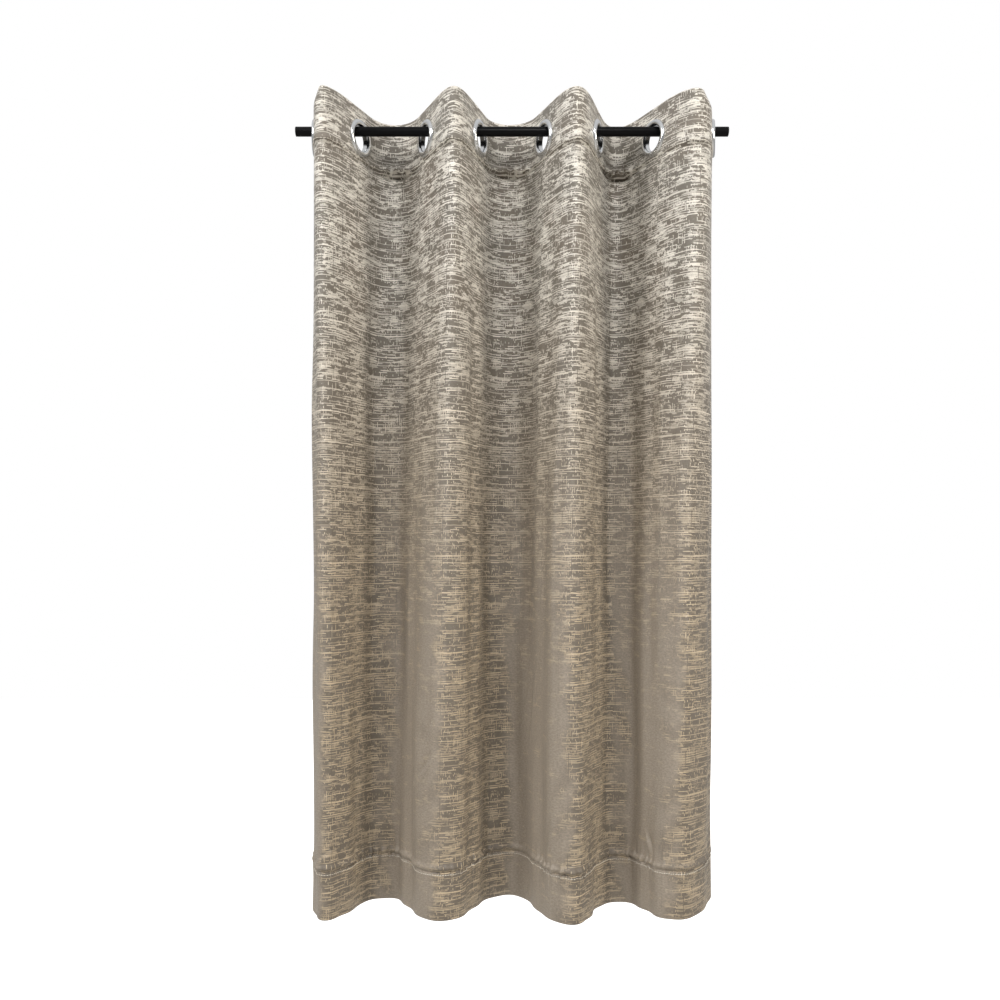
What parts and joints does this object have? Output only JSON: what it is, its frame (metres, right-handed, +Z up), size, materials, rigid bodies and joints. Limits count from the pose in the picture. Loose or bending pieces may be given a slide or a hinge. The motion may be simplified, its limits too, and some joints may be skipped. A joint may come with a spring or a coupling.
{
  "type": "eyelet curtain panel",
  "caption": "Gathered fabric curtain panel with metal eyelets, hanging in deep vertical folds on a round rod that it slides along.",
  "frame": {"origin": "on the rod's axis, halfway along the rod", "axes": "+X along the rod to the right as seen from the room, -Y towards the room, +Z up"},
  "size_m": [0.741, 0.1535, 1.372],
  "materials": {
    "cloth": "taupe jacquard with satin sheen",
    "tape": "matte",
    "eyelet": "polished",
    "rod": "satin black",
    "plug": "matte black"
  },
  "bodies": {
    "rod": {"rod_tube": "rod", "rod_plug_left": "plug", "rod_plug_right": "plug"},
    "flank_1": {"face_cloth_1": "cloth", "header_cloth_1": "cloth", "header_tape_1": "tape", "eyelet_front_1": "eyelet", "eyelet_back_1": "eyelet"},
    "flank_2": {"face_cloth_2": "cloth", "header_cloth_2": "cloth", "header_tape_2": "tape", "eyelet_front_2": "eyelet", "eyelet_back_2": "eyelet"},
    "flank_3": {"face_cloth_3": "cloth", "header_cloth_3": "cloth", "header_tape_3": "tape", "eyelet_front_3": "eyelet", "eyelet_back_3": "eyelet"},
    "flank_4": {"face_cloth_4": "cloth", "header_cloth_4": "cloth", "header_tape_4": "tape", "eyelet_front_4": "eyelet", "eyelet_back_4": "eyelet"},
    "flank_5": {"face_cloth_5": "cloth", "header_cloth_5": "cloth", "header_tape_5": "tape", "eyelet_front_5": "eyelet", "eyelet_back_5": "eyelet"},
    "flank_6": {"face_cloth_6": "cloth", "header_cloth_6": "cloth", "header_tape_6": "tape", "eyelet_front_6": "eyelet", "eyelet_back_6": "eyelet"},
    "flank_7": {"face_cloth_7": "cloth", "header_cloth_7": "cloth", "header_tape_7": "tape", "eyelet_front_7": "eyelet", "eyelet_back_7": "eyelet"},
    "flank_8": {"face_cloth_8": "cloth", "header_cloth_8": "cloth", "header_tape_8": "tape", "eyelet_front_8": "eyelet", "eyelet_back_8": "eyelet"}
  },
  "joints": [
    {"name": "draw_shut", "type": "hinge", "parent": "rod", "child": "flank_1", "pos_m": [-0.33448, 0, 0], "axis": [0, 0, -1], "range_deg": [0, 18]},
    {"name": "fold_1", "type": "hinge", "parent": "flank_1", "child": "flank_2", "pos_m": [-0.29824, -0.0705, 0], "axis": [0, 0, 1], "range_deg": [0, 36]},
    {"name": "fold_2", "type": "hinge", "parent": "flank_2", "child": "flank_3", "pos_m": [-0.204, 0.06365, 0], "axis": [0, 0, -1], "range_deg": [0, 36]},
    {"name": "fold_3", "type": "hinge", "parent": "flank_3", "child": "flank_4", "pos_m": [-0.10152, -0.07557, 0], "axis": [0, 0, 1], "range_deg": [0, 36]},
    {"name": "fold_4", "type": "hinge", "parent": "flank_4", "child": "flank_5", "pos_m": [-0.00004, 0.06262, 0], "axis": [0, 0, -1], "range_deg": [0, 36]},
    {"name": "fold_5", "type": "hinge", "parent": "flank_5", "child": "flank_6", "pos_m": [0.10097, -0.07627, 0], "axis": [0, 0, 1], "range_deg": [0, 36]},
    {"name": "fold_6", "type": "hinge", "parent": "flank_6", "child": "flank_7", "pos_m": [0.19448, 0.07103, 0], "axis": [0, 0, -1], "range_deg": [0, 36]},
    {"name": "fold_7", "type": "hinge", "parent": "flank_7", "child": "flank_8", "pos_m": [0.29248, -0.06786, 0], "axis": [0, 0, 1], "range_deg": [0, 36]}
  ],
  "couplings": [
    {"joint": "fold_1", "follows": "draw_shut", "ratio": 2},
    {"joint": "fold_2", "follows": "draw_shut", "ratio": 2},
    {"joint": "fold_3", "follows": "draw_shut", "ratio": 2},
    {"joint": "fold_4", "follows": "draw_shut", "ratio": 2},
    {"joint": "fold_5", "follows": "draw_shut", "ratio": 2},
    {"joint": "fold_6", "follows": "draw_shut", "ratio": 2},
    {"joint": "fold_7", "follows": "draw_shut", "ratio": 2}
  ]
}
